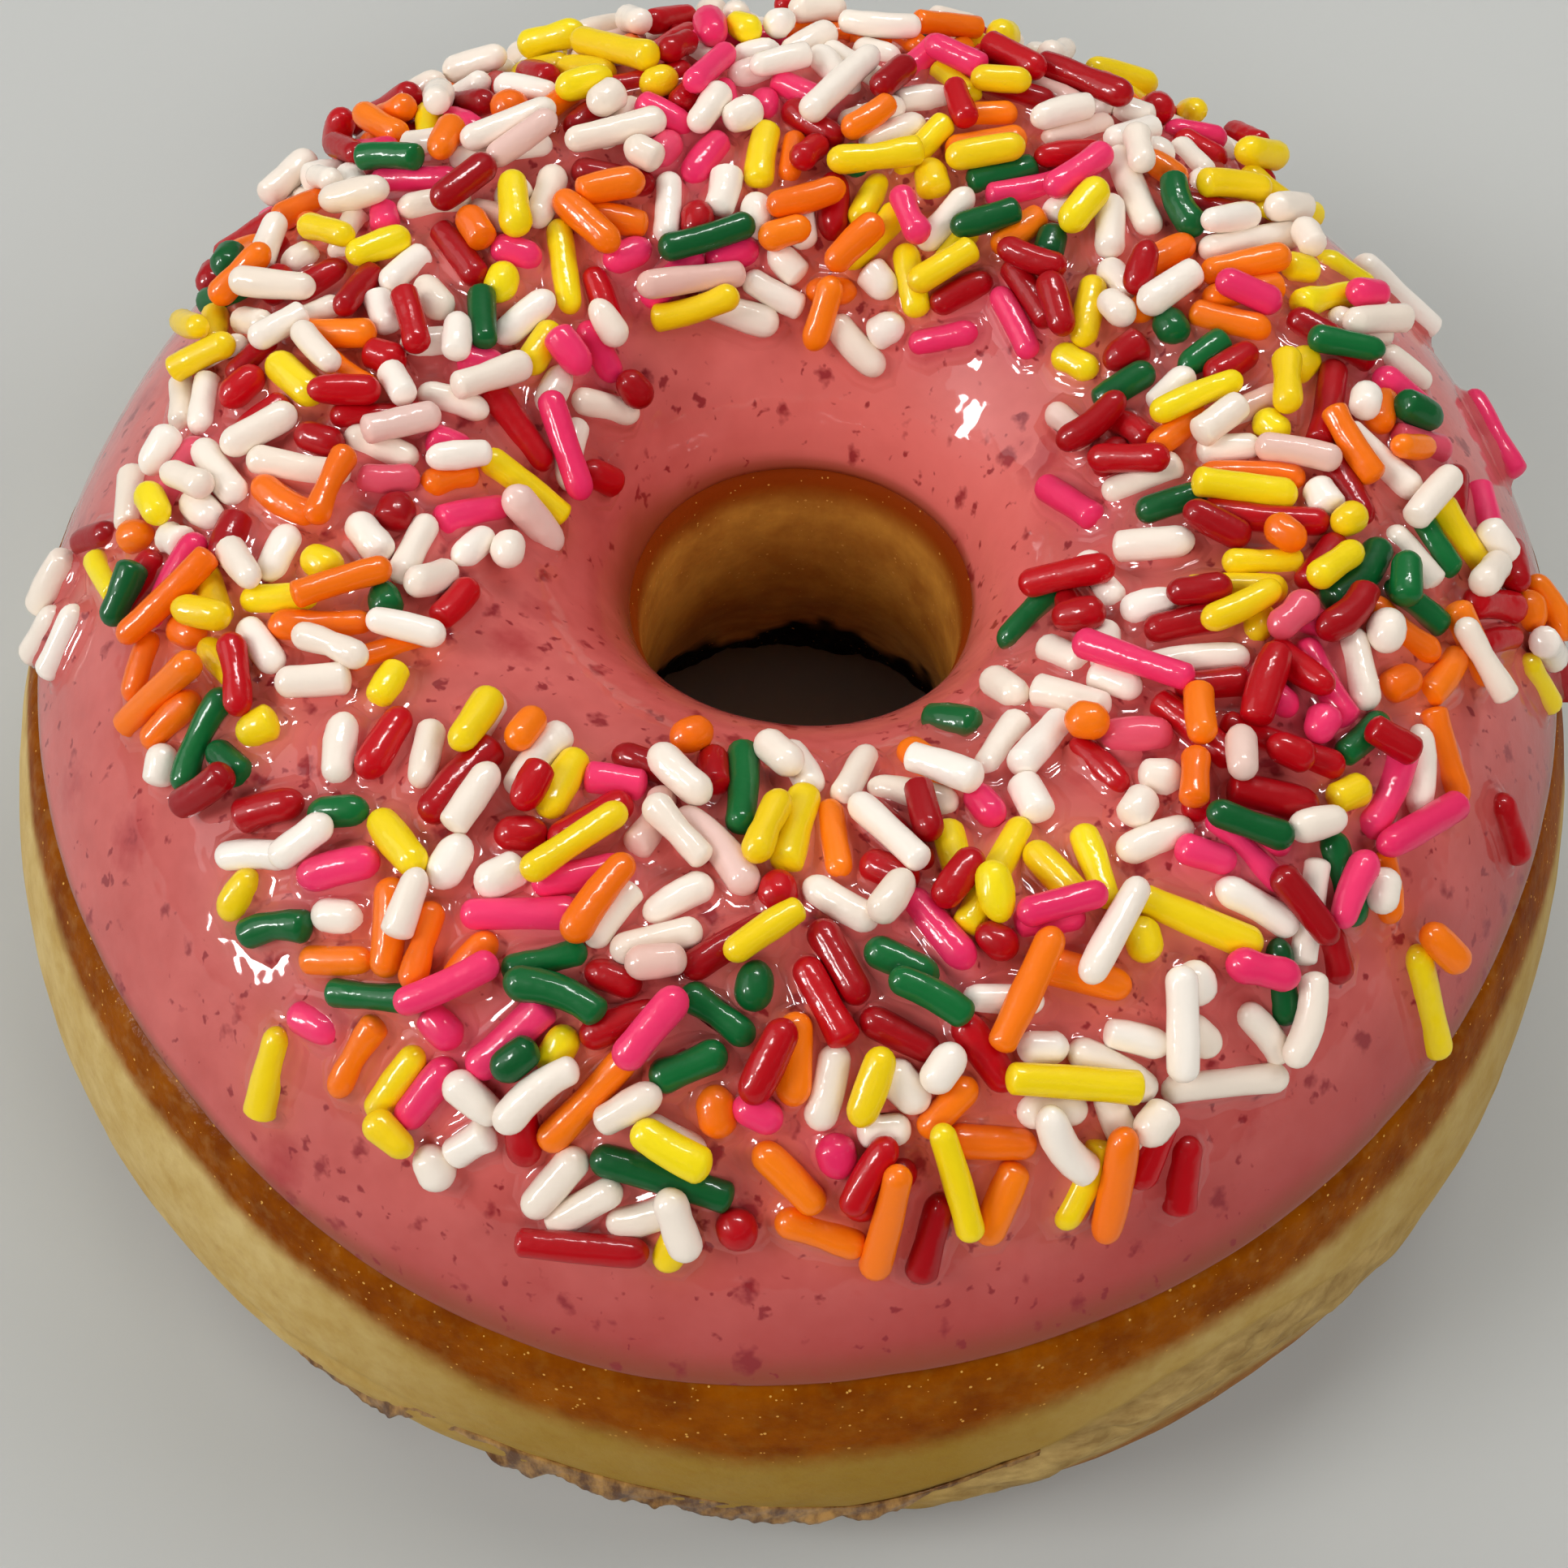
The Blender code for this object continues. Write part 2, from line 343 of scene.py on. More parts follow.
def sugarStrand(name, colour, shade, frostingColour="#d9716e"):
    # extruded sugar and fat paste, dyed and glazed: opaque, a little waxy, with a thin shiny glaze
    material, tree, shader = newMaterial(name)
    place = coordinates(tree)
    marks = addNode(tree, "VertexColor", {"layer_name": "toneFilmAndBounce"})
    split = addNode(tree, "SeparateColor", links={"Color": marks.outputs["Color"]})
    paste = mixColour(tree, split.outputs["Red"], hexToLinear(colour), hexToLinear(shade))
    # the foot of each strand turns frosting pink: partly a film of icing, partly painted pink bounce light
    wet = mixColour(tree, split.outputs["Green"], paste, hexToLinear(frostingColour))
    lumps = addNode(tree, "TexNoise", {"Scale": 1 / (0.9 * mm), "Detail": 2.0}, {"Vector": place})
    bump = addNode(tree, "Bump", {"Strength": 0.4, "Distance": 0.16 * mm}, {"Height": lumps})
    fill(tree, shader,
         {"Roughness": 0.5, "Specular IOR Level": 0.12, "Coat Weight": 0.5, "Coat Roughness": 0.13},
         {"Base Color": wet, "Normal": bump, "Coat Normal": bump})
    return material


frosting = {
    "around": 640, "across": 118, "lipSteps": 6, "insideRows": 12,
    "lipRadius": 0.45 * mm, "insideDepth": 1.3 * mm,
    "swell": 0.12 * mm, "swellSize": 13.0 * mm, "ripple": 0.035 * mm, "rippleSize": 3.5 * mm,
    # painted shade: the coat darkens towards the outer lip, most at the front and on the right
    "outerShadeReach": 11.0 * mm, "paintedShadeColour": "#98140f",
    "outerShadeStrength": ((-175, 0.2), (-130, 0.18), (-105, 0.62), (-70, 0.72), (0, 0.6), (40, 0.45), (150, 0.45)),
    # lips: partly crust showing through thin icing, partly painted shade, widest at the front and on the left
    # slope into the hole
    "thinShadedOuter": ((-175, 0.5), (-130, 0.7), (-110, 2.6), (-60, 2.6), (-30, 1.8), (60, 1.8)),
    "thinShadedStrength": 0.8, "thinShadedColour": "#853a14",
    "thinShadedInner": ((-165, 4.4), (-120, 2.2), (-60, 1.2), (0, 0.9), (90, 1.0), (140, 2.0), (160, 4.4)),
    # painted light: paler on the right and back slopes into the hole
    "slope": (3.0 * mm, 12.0 * mm), "paintedLightColour": "#f07e74",
    "paintedLightStrength": ((-60, 0.0), (-20, 0.45), (10, 0.5), (70, 0.5), (105, 0.4), (135, 0.1), (150, 0.0)),
    # painted shade: darker and redder on the left slope into the hole
    "holeShadeStrength": ((-180, 0.3), (-140, 0.25), (-110, 0.12), (-80, 0.0), (130, 0.0), (150, 0.22)),
}


def frostingGrid():
    f = frosting
    turn = np.linspace(0.0, math.tau, f["around"], endpoint=False)
    start = outerLipMark(turn, -mm * cyclic(ring["lipLift"], np.degrees(turn), 1))
    bend = np.linspace(0.0, math.pi, f["lipSteps"] + 2)[1:-1]
    rows = []
    for share in np.linspace(0.0, 1.0, f["across"]):  # up the outside, over the top, into the hole
        rows.append((start + share * (innerLipMark - start), 0.0, 0.0))
    for angle in bend:  # round the lip in the hole
        rows.append((innerLipMark + 0.0 * start, angle, 1.0))
    for share in np.linspace(0.0, 1.0, f["insideRows"]):  # back along the dough
        rows.append((innerLipMark - share * (innerLipMark - start), math.pi, 0.0))
    for angle in bend[::-1]:  # round the outer lip
        rows.append((start, angle, -1.0))
    points = []
    normals = []
    for mark, angle, side in rows:
        r, z, outR, outZ = skinAt(mark)
        depth = f["lipRadius"] * (1.0 - math.cos(angle))
        reach = f["lipRadius"] * math.sin(angle) * side
        if side == 0.0 and angle > 0.0:
            depth = f["insideDepth"]
            reach = 0.0
        alongR, alongZ = -outZ, outR  # the way the section runs on
        radius = r - outR * depth + alongR * reach
        height = z - outZ * depth + alongZ * reach
        points.append(ringPoint(radius, height, turn))
        normals.append(ringVector(outR, outZ, turn))
    return np.array(points), np.array(normals)


def makeFrosting(material):
    points, normals = frostingGrid()
    f = frosting
    rows, columns = points.shape[:2]
    flat = points.reshape(-1, 3)
    lift = f["swell"] * noiseAt(flat, f["swellSize"], 3.1) + f["ripple"] * noiseAt(flat, f["rippleSize"], 8.0)
    flat = flat + normals.reshape(-1, 3) * lift[:, None]
    piece = addPiece("frosting_coat", flat, gridFaces(rows, columns), material)
    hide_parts("frosting")
    return piece


dough = {
    "around": 640, "fineStep": 0.32 * mm, "wallStep": 0.8 * mm, "footStep": 1.6 * mm, "coveredStep": 4.0 * mm,
    # angle and height of the line where the brown crust turns into the pale belt
    "crustEdge": ((-168, 20.4), (-160, 19.8), (-148, 19.1), (-132, 18.3), (-120, 16.5), (-109, 15.3),
                  (-97, 14.0), (-90, 13.6), (-76, 15.0), (-66, 16.7), (-48, 17.1), (-30, 17.6), (0, 18.2),
                  (60, 16.5), (140, 17.5)),
    # angle and height of the crease below the belt
    "crease": ((-130, 8.5), (-115, 9.6), (-100, 8.6), (-84, 6.8), (-76, 10.0), (-64, 13.6), (-56, 13.8),
               (-48, 12.2), (-38, 10.6), (-20, 8.5), (90, 7.5), (180, 7.5)),
    # angle and how golden the belt is there
    "golden": ((-170, 0.0), (-125, 0.1), (-105, 0.8), (-78, 0.9), (-60, 0.4), (-20, 0.45), (90, 0.4)),
    "tornAim": -61.0, "tornReach": (13.0, 27.0),
}


def doughMarks():
    lipTop = float(outerLipMark(np.array(0.0), -2.6 * mm))
    throatEnd = skinMarks[footRow]
    stretches = ((0.0, lipTop, dough["fineStep"]), (lipTop, innerLipMark - 1.2 * mm, dough["coveredStep"]),
                 (innerLipMark - 1.2 * mm, throatEnd, dough["wallStep"]),
                 (throatEnd, skinMarks[-1], dough["footStep"]))
    marks = []
    for low, high, step in stretches:
        count = max(2, round((high - low) / step))
        marks.extend(np.linspace(low, high, count, endpoint=False))
    return np.array(marks)


def tornShare(degrees):
    # how torn the crumb under the belt is, 0 to 1
    away = np.abs((degrees - dough["tornAim"] + 180.0) % 360.0 - 180.0)
    return 1.0 - ease(*dough["tornReach"], away)


def makeDough(material):
    marks = doughMarks()
    turn = np.linspace(0.0, math.tau, dough["around"], endpoint=False)
    mark, angle = np.meshgrid(marks, turn, indexing="ij")
    r, z, outR, outZ = skinAt(mark)
    outer = mark < crownMark
    lifted = ring["outerLip"] + waves(ring["lipWaves"], angle)
    lifted += mm * cyclic(ring["lipLift"], np.degrees(angle), 1)
    lip = np.where(outer, lifted, ring["innerLip"])
    start, end = ring["drawIn"]
    depth = ring["cover"] * ease(0.0, 1.0, (z - lip + start) / (start - end))
    flat = ringPoint(r - outR * depth, z - outZ * depth, angle).reshape(-1, 3)
    normals = ringVector(outR, outZ, angle).reshape(-1, 3)
    height = flat[:, 2]
    outer = outer.reshape(-1)
    degrees = np.degrees(angle).reshape(-1)
    lift = 0.2 * mm * noiseAt(flat, 12.0 * mm, 5.0) + 0.05 * mm * noiseAt(flat, 2.2 * mm, 1.0)
    torn = tornShare(degrees) * outer
    crease = cyclic(dough["crease"], degrees, 1) * mm + 0.7 * mm * noiseAt(flat * (1, 1, 0), 5.0 * mm, 2.0)
    below = crease - height
    groove = np.exp(-(np.maximum(below, 0) / (0.75 * mm)) ** 2) * ease(-0.5 * mm, 0.15 * mm, below)
    ridge = np.exp(-((below - 2.2 * mm) / (1.5 * mm)) ** 2)
    crumb = noiseAt(flat, 2.4 * mm, 4.0, 3)
    layered = np.stack([15 * mm * angle.reshape(-1), height, 0 * height], 1)  # drawn out along the belt
    sheets = noiseAt(layered, 1.0 * mm, 4.0, 3)
    pores = np.maximum(noiseAt(layered, 0.7 * mm, 9.0) - 0.25, 0)
    lift += torn * (-0.35 * mm * groove + ridge * (0.35 * mm + 0.35 * mm * sheets - 1.3 * mm * pores))
    lift += (1.0 - torn) * outer * (-0.1 * mm * groove + 0.15 * mm * ridge)
    low = (~outer) * (1 - ease(7.0 * mm, 14.0 * mm, height))
    lift += low * (0.6 * mm * noiseAt(flat, 3.2 * mm, 6.0) + 0.25 * mm * crumb)
    lift *= ease(0.2 * mm, 1.8 * mm, height)
    piece = addPiece("dough_ring", flat + normals * lift[:, None], gridFaces(len(marks), len(turn)), material)
    edge = cyclic(dough["crustEdge"], degrees, 1) * mm + 0.7 * mm * noiseAt(flat * (1, 1, 0), 9.0 * mm, 7.0)
    soft = 1.0 + 0.9 * cyclic(dough["golden"], degrees, 1)
    browned = ease(edge - 1.1 * mm * soft, edge + 0.5 * mm * soft, height)
    under = ease(3.6 * mm, 5.6 * mm, below)
    zones = np.zeros((len(flat), 4), np.float32)
    zones[:, 0] = np.where(outer, np.maximum(browned, 0.75 * under), 1.0)
    zones[:, 1] = np.clip(torn * (1.0 - under) * ease(-0.1 * mm, 0.4 * mm, below), 0, 1)
    zones[:, 2] = (~outer) * (1 - ease(-3.0 * mm, -0.5 * mm, height - ring["innerLip"]))
    zones[:, 3] = cyclic(dough["golden"], degrees, 1)
    storeColour(piece, "zones", zones)
    # in the hole: painted shadow at its foot, painted shade with pink bounce light under the top lip, and a
    # paler crumb lower down that is partly painted light
    hole = np.zeros((len(flat), 4), np.float32)
    lumpy = height + 2.4 * mm * noiseAt(flat, 3.0 * mm, 11.0, 2)
    hole[:, 0] = (~outer) * (1.0 - ease(6.6 * mm, 8.2 * mm, lumpy))
    hole[:, 1] = (~outer) * ease(-3.6 * mm, -0.6 * mm, height - ring["innerLip"])
    hole[:, 2] = 0.75 * low
    storeColour(piece, "hole", hole)
    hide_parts("dough")
    return piece


shreds = {"from": -129.0, "to": -72.0, "steps": 460, "rows": 10, "thickness": 0.14 * mm,
          "hang": 2.7 * mm, "ragged": 1.2 * mm, "tearWidth": 3.6, "fold": 0.4 * mm, "foldWidth": 2.4}


def makeShreds(material):
    # a thin torn fringe of crumb that hangs below the belt
    s = shreds
    turn = np.radians(np.linspace(s["from"], s["to"], s["steps"]))
    degrees = np.degrees(turn)
    crease = cyclic(dough["crease"], degrees, 1) * mm
    share = ease(s["from"], s["from"] + 10, degrees) * (1 - 0.75 * ease(s["to"] - 16, s["to"], degrees))
    ragged = np.array([noise.fractal(Vector((d / s["tearWidth"], 3.0, 0.0)), 0.8, 2.2, 2) for d in degrees])
    drop = share * (s["hang"] + s["ragged"] * ragged)
    footSkin = skin[:waistRow + 1]
    sheets = []
    for layer in (0, 1):
        rows = []
        for k in range(s["rows"]):
            down = k / (s["rows"] - 1)
            z = crease - 0.2 * mm - drop * down
            top = np.interp(crease, footSkin[:, 1], footSkin[:, 0])
            foot = np.interp(z, footSkin[:, 1], footSkin[:, 0])
            folds = np.array([noise.fractal(Vector((d / s["foldWidth"] + down, down * 0.7, 7.0)), 0.7, 2.1, 3)
                              for d in degrees])
            out = -0.05 * mm + share * down ** 0.7 * (0.1 * mm + s["fold"] * folds)
            rows.append(ringPoint(0.75 * top + 0.25 * foot + out - layer * s["thickness"], z, turn))
        sheets.append(np.array(rows))
    front, back = sheets
    ringRows = np.concatenate([front, back[::-1]])
    count = ringRows.shape[0]
    index = np.arange(count * s["steps"]).reshape(count, s["steps"])
    faces = []
    for k in range(count):
        n = (k + 1) % count
        for c in range(s["steps"] - 1):
            faces.append((index[k, c], index[n, c], index[n, c + 1], index[k, c + 1]))
    faces.append(tuple(index[:, 0]))
    faces.append(tuple(index[::-1, -1]))
    addPiece("crumb_shreds", ringRows.reshape(-1, 3), faces, material)


sprinkles = {
    "radius": (0.8 * mm, 0.045 * mm), "radiusLimits": (0.7 * mm, 0.92 * mm),
    "short": (2.2, 3.2), "usual": (4.3, 0.65), "usualLimits": (2.9, 5.7), "long": (5.4, 7.4),  # lengths in mm
    "shortShare": 0.15, "longShare": 0.12,
    "sink": (0.15 * mm, 0.5 * mm), "overlap": 0.09 * mm, "alike": 0.12,
    "layers": (  # first those that lie on the frosting, then those that lie across others
        {"count": 980, "drops": 20000, "tries": 8, "rise": 0.3, "steepest": 0.28, "column": 1,
         "clear": 0.85 * mm},
        {"count": 245, "drops": 4200, "tries": 8, "rise": 1.4, "steepest": 0.5, "column": 2, "clear": 0.0}),
    # angle, then the band's outer and inner edge as shares of the way from the outer lip to the inner one
    "band": ((-180, 0.27, 0.8), (-174, 0.22, 0.76), (-168, 0.24, 0.71), (-163, 0.24, 0.68),
             (-150, 0.27, 0.64), (-137, 0.28, 0.63), (-125, 0.24, 0.63), (-115, 0.2, 0.68),
             (-105, 0.19, 0.7), (-92, 0.19, 0.73), (-80, 0.20, 0.73), (-65, 0.17, 0.73),
             (-52, 0.27, 0.70), (-42, 0.24, 0.76), (-25, 0.29, 0.79), (-12, 0.27, 0.79), (-4, 0.12, 0.69),
             (4, 0.28, 0.79), (12, 0.36, 0.73), (25, 0.34, 0.79), (35, 0.36, 0.75), (47, 0.24, 0.75),
             (60, 0.12, 0.77), (72, 0.10, 0.79), (85, 0.10, 0.83), (97, 0.10, 0.82), (108, 0.10, 0.80),
             (122, 0.12, 0.76), (133, 0.20, 0.78), (142, 0.21, 0.84), (155, 0.26, 0.84),
             (165, 0.32, 0.86), (174, 0.34, 0.84)),
    # bare spots: angle, share across, radius
    "gaps": ((-55, 0.57, 3.0 * mm), (-142, 0.6, 2.2 * mm), (43, 0.77, 3.4 * mm), (-142, 0.24, 3.2 * mm)),
    # how crowded the band is: angle, share of strands kept on the frosting and on top of others
    "crowd": ((-180, 0.8, 0.6), (-163, 0.6, 0.4), (-145, 0.4, 0.2), (-125, 0.45, 0.4), (-112, 0.8, 0.6),
              (-80, 0.8, 0.7), (-55, 0.5, 0.4), (-40, 0.8, 0.7), (0, 0.9, 0.8), (40, 1.0, 1.0),
              (120, 1.0, 1.0), (150, 0.9, 0.8)),
}
strandKinds = (  # name, share of all, colour, shaded colour
    ("white", 0.32, "#fff5e8", "#f6e5d2"),
    ("yellow", 0.125, "#fbe20c", "#f6ce0a"),
    ("orange", 0.16, "#ff8008", "#f46a00"),
    ("red", 0.21, "#c40010", "#98000a"),
    ("green", 0.07, "#0a6a30", "#064d22"),
    ("pink", 0.115, "#f8386e", "#e7265e"),
)
# single strands that sit apart: angle, share across, aim from the ring's own direction, length, colour
strays = (
    (-128, 0.155, 100, 5.2, "yellow"), (-37, 0.105, 80, 7.0, "yellow"), (-35, 0.165, 100, 3.4, "orange"),
    (-21, 0.125, 75, 4.4, "red"), (-2, 0.06, 80, 5.6, "red"), (-7, 0.125, 85, 4.6, "yellow"),
    (-177, 0.075, 110, 4.4, "white"), (-170, 0.11, 120, 4.6, "white"), (-173, 0.2, 30, 4.8, "yellow"),
    (-89, 0.73, 110, 4.2, "white"), (-60, 0.76, 120, 3.4, "green"), (-35, 0.735, 80, 3.4, "white"),
    (5, 0.705, 100, 4.6, "white"), (24, 0.69, 95, 3.8, "green"), (12, 0.655, 130, 4.4, "orange"),
    (40, 0.665, 130, 4.6, "yellow"), (50, 0.69, 160, 4.8, "red"), (80, 0.70, 60, 5.0, "yellow"),
    (83, 0.725, 55, 4.2, "orange"), (106, 0.735, 10, 3.2, "pink"), (124, 0.70, 0, 3.0, "pink"),
    (140, 0.775, 80, 3.8, "pink"), (149, 0.72, 10, 3.6, "yellow"), (154, 0.76, 10, 3.2, "white"),
    (166, 0.74, 60, 5.6, "red"), (18, 0.12, 15, 6.0, "pink"), (31, 0.2, 60, 7.2, "white"),
    (-178, 0.17, 70, 4.2, "red"), (-174, 0.03, 95, 4.6, "white"), (171, 0.30, 20, 4.4, "white"),
)


def strandShape(length=None):
    s = sprinkles
    luck = rng.random()
    if length is None and luck < s["shortShare"]:
        length = rng.uniform(*s["short"])
    elif length is None and luck < 1.0 - s["longShare"]:
        length = float(np.clip(rng.normal(*s["usual"]), *s["usualLimits"]))
    elif length is None:
        length = rng.uniform(*s["long"])
    radius = float(np.clip(rng.normal(*s["radius"]), *s["radiusLimits"]))
    radius *= 1.0 + 0.16 * float(1.0 - ease(2.0, 3.6, length))
    bend = rng.normal(0.0, 0.022)
    if rng.random() < 0.07 and length > 3.2:
        bend = rng.choice([-1, 1]) * rng.uniform(0.06, 0.13)
    return {
        "length": max(length * mm, 2.15 * radius), "radius": radius, "bend": float(bend),
        "waist": float(rng.uniform(0.08, 0.2)) if rng.random() < 0.1 else 0.0,
        "bulge": float(rng.uniform(0.0, 0.14)) if length < 4.6 else 0.0,
        "taper": float(rng.normal(0.0, 0.045)),
        "caps": [float(rng.uniform(0.42, 0.66) if rng.random() < 0.22 else rng.uniform(0.85, 1.2))
                 for _ in range(2)],
        "lumps": rng.uniform(0, math.tau, 6), "lumpSize": float(rng.uniform(0.015, 0.045)),
        "tone": float(rng.uniform(0, 1)), "sink": float(rng.uniform(*sprinkles["sink"])),
        "film": float(rng.uniform(0.25, 0.5)) if rng.random() < 0.06 else 0.0,
    }


def beadLine(strand):
    # beads that stand for the strand while it settles: distance along and across its own axis
    half = max(0.5 * strand["length"] - strand["radius"], 0.02 * mm)
    count = max(2, int(round(2 * half / (0.6 * strand["radius"]))) + 1)
    along = np.linspace(-half, half, count)
    across = strand["bend"] * strand["length"] * ((2 * along / strand["length"]) ** 2 - 0.33)
    return along, across


def supportLine(along, need):
    # the lowest straight rest over the needed heights, at the strand's middle
    if along[-1] - along[0] < 1.0 * mm:
        return float(need.max()), 0.0
    left = along <= 0
    xLeft, needLeft = along[left][:, None], need[left][:, None]
    xRight, needRight = along[~left][None], need[~left][None]
    middle = (needLeft * xRight - needRight * xLeft) / (xRight - xLeft)
    i, j = np.unravel_index(middle.argmax(), middle.shape)
    return float(middle[i, j]), float((needRight[0, j] - needLeft[i, 0]) / (xRight[0, j] - xLeft[i, 0]))


def frostingSpot(turn, share, aim):
    start = float(outerLipMark(np.array(turn)))
    r, z, outR, outZ = [float(v) for v in skinAt(start + share * (innerLipMark - start))]
    here = Vector(ringPoint(np.array(r), np.array(z), np.array(turn)))
    up = Vector(ringVector(np.array(outR), np.array(outZ), np.array(turn)))
    onward = Vector(ringVector(np.array(-outZ), np.array(outR), np.array(turn)))  # towards the hole
    around = onward.cross(up)
    along = (around * math.cos(aim) + onward * math.sin(aim)).normalized()
    return here, along, up.cross(along), up


class Heap:
    # the beads of every strand that already lies on the frosting
    def __init__(self):
        self.centres = np.zeros((0, 3))
        self.radii = np.zeros(0)

    def add(self, centres, radii):
        self.centres = np.concatenate([self.centres, centres])
        self.radii = np.concatenate([self.radii, radii])


def settle(strand, turn, share, aim, tree, heap):
    here, along, across, up = frostingSpot(turn, share, aim)
    x, y = beadLine(strand)
    axes = np.array([along, across, up])
    need = np.zeros(len(x))
    for k in range(len(x)):
        base = here + along * x[k] + across * y[k]
        spot, normal, _, _ = tree.find_nearest(base)
        need[k] = strand["radius"] - strand["sink"] - (base - spot).dot(normal)
    reach = 0.5 * strand["length"] + 2.5 * mm
    near = np.flatnonzero(((heap.centres - np.array(here)) ** 2).sum(1) < reach ** 2)
    if len(near):
        local = (heap.centres[near] - np.array(here)) @ axes.T
        touch = heap.radii[near] + strand["radius"] - sprinkles["overlap"]
        for k in range(len(x)):
            gap = touch ** 2 - (local[:, 0] - x[k]) ** 2 - (local[:, 1] - y[k]) ** 2
            hit = gap > 0
            if hit.any():
                need[k] = max(need[k], float((local[hit, 2] + np.sqrt(gap[hit])).max()))
    middle, slope = supportLine(x, need)
    return {"here": here, "axes": axes, "middle": middle, "slope": slope, "x": x, "y": y}


def scatterStrands(tree):
    heap = Heap()
    laid = []
    names = [kind[0] for kind in strandKinds]
    shares = np.array([kind[1] for kind in strandKinds])
    shares /= shares.sum()

    def lay(strand, rest, colour):
        strand.update(rest)
        strand["colour"] = colour
        strand["film"] *= colour in ("white", "pink")
        local = np.stack([strand["x"], strand["y"], rest["middle"] + rest["slope"] * strand["x"]], -1)
        centres = np.array(strand["here"]) + local @ strand["axes"]
        heap.add(centres, np.full(len(centres), strand["radius"]))
        laid.append(strand)

    def chooseColour(here):
        if laid and rng.random() < sprinkles["alike"]:  # they fall in little groups of one colour
            near = min(laid, key=lambda other: (other["here"] - here).length_squared)
            return near["colour"]
        return names[rng.choice(len(names), p=shares)]

    bare = [(frostingSpot(math.radians(degrees), share, 0.0)[0], reach)
            for degrees, share, reach in sprinkles["gaps"]]
    for degrees, share, aim, length, colour in strays:
        strand = strandShape(length)
        rest = settle(strand, math.radians(degrees), share, math.radians(aim), tree, heap)
        lay(strand, rest, colour)
    for layer in sprinkles["layers"]:
        drops = 0
        goal = len(laid) + layer["count"]
        while len(laid) < goal and drops < layer["drops"]:
            drops += 1
            degrees = rng.uniform(-180, 180)
            share = rng.uniform(0.0, 0.9)
            turn = math.radians(degrees)
            start = float(outerLipMark(np.array(turn)))
            if rng.random() > skinAt(start + share * (innerLipMark - start))[0] / ring["outerRadius"]:
                continue
            outerEdge = cyclic(sprinkles["band"], degrees, 1) + rng.normal(0.015, 0.02)
            innerEdge = cyclic(sprinkles["band"], degrees, 2) + 0.015 - abs(rng.normal(0.0, 0.035))
            crowd = cyclic(sprinkles["crowd"], degrees, layer["column"])
            if not outerEdge < share < innerEdge or rng.random() > crowd:
                continue
            spot = frostingSpot(turn, share, 0.0)[0]
            if any((spot - middle).length < reach for middle, reach in bare):
                continue
            if layer["clear"]:
                gaps = ((heap.centres - np.array(spot)) ** 2).sum(1)
                if gaps.min() < layer["clear"] ** 2:
                    continue
            strand = strandShape()
            best = None
            limit = strand["radius"] - strand["sink"] + layer["rise"] * mm
            for k in range(layer["tries"]):
                if k == 4 and (best is None or best[0] > limit + 0.9 * mm):
                    break
                option = settle(strand, turn + rng.normal(0, 0.02), share + rng.normal(0, 0.014),
                                rng.uniform(0, math.pi), tree, heap)
                cost = option["middle"] + 1.5 * mm * abs(option["slope"])
                if abs(option["slope"]) < layer["steepest"] and (best is None or cost < best[0]):
                    best = (cost, option)
            if best is None or best[1]["middle"] > limit:
                continue
            lay(strand, best[1], chooseColour(best[1]["here"]))
        print("strands laid:", len(laid), "after", drops, "drops")
    return laid


strandMesh = {"sides": 14, "capRings": 5, "bodyStep": 0.75 * mm}


